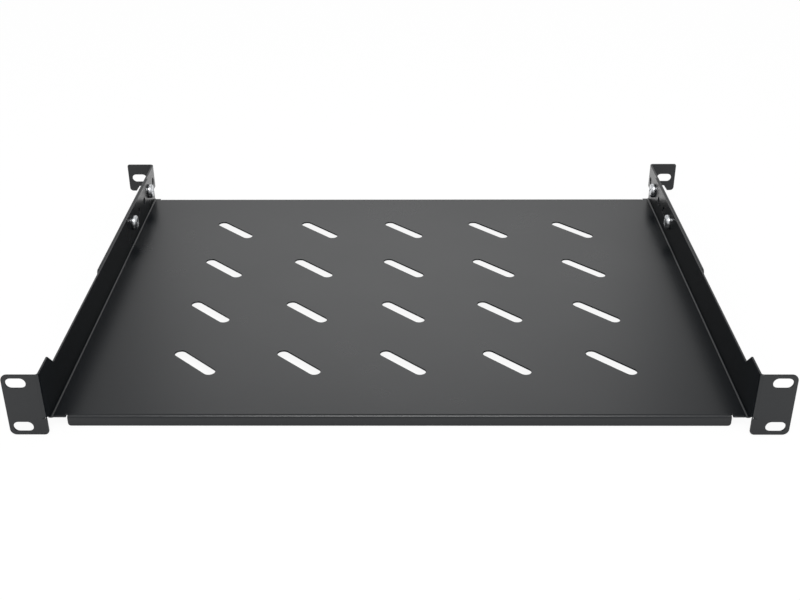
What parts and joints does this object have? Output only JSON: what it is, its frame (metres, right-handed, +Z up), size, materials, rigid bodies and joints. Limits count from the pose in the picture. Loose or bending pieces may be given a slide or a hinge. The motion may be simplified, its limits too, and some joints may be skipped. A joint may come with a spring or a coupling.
{
  "type": "rack shelf",
  "caption": "Vented tray for a 19 inch rack, one unit high, with front ears, lips at front and rear, and bolted rear brackets with their own ears.",
  "frame": {"origin": "centre of the front mounting pattern, on the plane where the rear faces of the front ears meet the posts", "axes": "+X to the right seen from the front, +Y back into the rack, +Z up; +X is the longest extent"},
  "size_m": [0.484, 0.3611, 0.044],
  "materials": {
    "black_powder_coat": "smooth semi-gloss black powder coat",
    "bright_zinc": "bright zinc plating on steel"
  },
  "bodies": {
    "root": {"tray": "black_powder_coat", "rear_bracket_left": "black_powder_coat", "rear_bracket_right": "black_powder_coat", "screw_front_left": "bright_zinc", "screw_front_right": "bright_zinc", "screw_rear_left": "bright_zinc", "screw_rear_right": "bright_zinc", "nut_front_left": "bright_zinc", "nut_front_right": "bright_zinc", "nut_rear_left": "bright_zinc", "nut_rear_right": "bright_zinc"}
  },
  "joints": []
}
